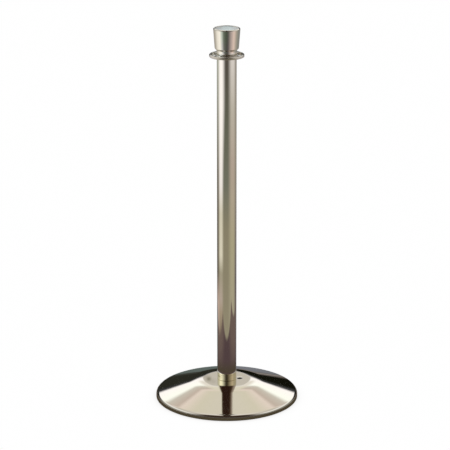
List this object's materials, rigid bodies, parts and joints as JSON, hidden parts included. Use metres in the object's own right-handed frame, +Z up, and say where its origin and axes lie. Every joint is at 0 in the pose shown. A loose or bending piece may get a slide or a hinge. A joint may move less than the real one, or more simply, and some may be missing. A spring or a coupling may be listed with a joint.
{
  "type": "rope barrier stanchion",
  "caption": "Free-standing rope barrier post with a weighted cone base, polished tube, turning rope ring and flared screw-off crown.",
  "frame": {"origin": "centre of the base on the floor, under the rubber ring", "axes": "+Z up along the post, +X towards one rope hook opening, -Y towards the viewer"},
  "size_m": [0.376, 0.376, 1],
  "materials": {
    "polished_steel": "mirror-polished stainless steel, slightly warm",
    "brass": "turned and polished",
    "cast_iron": "black-painted casting",
    "zinc_steel": "zinc plated",
    "rubber": "matte",
    "nylon": "black nylon",
    "black_plate": "black powder coat"
  },
  "bodies": {
    "base": {"base_weight": "cast_iron", "base_cover": "polished_steel", "bottom_plate": "black_plate", "bottom_plate_screws": "zinc_steel", "floor_ring": "rubber", "base_stud": "zinc_steel", "stud_plate_washer": "zinc_steel", "stud_spring_washer": "zinc_steel", "stud_nut": "zinc_steel", "cover_clamp_washer": "zinc_steel", "cover_clamp_nut": "zinc_steel"},
    "hub_washer": {"hub_washer": "brass"},
    "post": {"post_tube": "polished_steel", "foot_coupler": "brass", "top_plug": "zinc_steel"},
    "rope_collar": {"rope_ring": "polished_steel", "ring_bushing": "nylon"},
    "crown_washer": {"crown_washer": "nylon"},
    "crown": {"crown_shell": "polished_steel", "crown_cap_disc": "polished_steel", "crown_stud": "zinc_steel", "crown_inner_washer": "zinc_steel", "crown_jam_nut": "zinc_steel"}
  },
  "joints": [
    {"name": "post_turn", "type": "hinge", "parent": "base", "child": "hub_washer", "pos_m": [0, 0, 0.0506], "axis": [0, 0, 1], "range_deg": [0, 6480]},
    {"name": "post_rise", "type": "slide", "parent": "hub_washer", "child": "post", "axis": [0, 0, 1], "range_m": [0, 0.036]},
    {"name": "collar_spin", "type": "hinge", "parent": "post", "child": "rope_collar", "pos_m": [0, 0, 0.92875], "axis": [0, 0, 1], "continuous": true},
    {"name": "crown_turn", "type": "hinge", "parent": "post", "child": "crown_washer", "pos_m": [0, 0, 0.9335], "axis": [0, 0, 1], "range_deg": [0, 5040]},
    {"name": "crown_rise", "type": "slide", "parent": "crown_washer", "child": "crown", "axis": [0, 0, 1], "range_m": [0, 0.0245]}
  ],
  "couplings": [
    {"joint": "post_rise", "follows": "post_turn", "m_per_rad": 0.00031831},
    {"joint": "crown_rise", "follows": "crown_turn", "m_per_rad": 0.00027852}
  ]
}
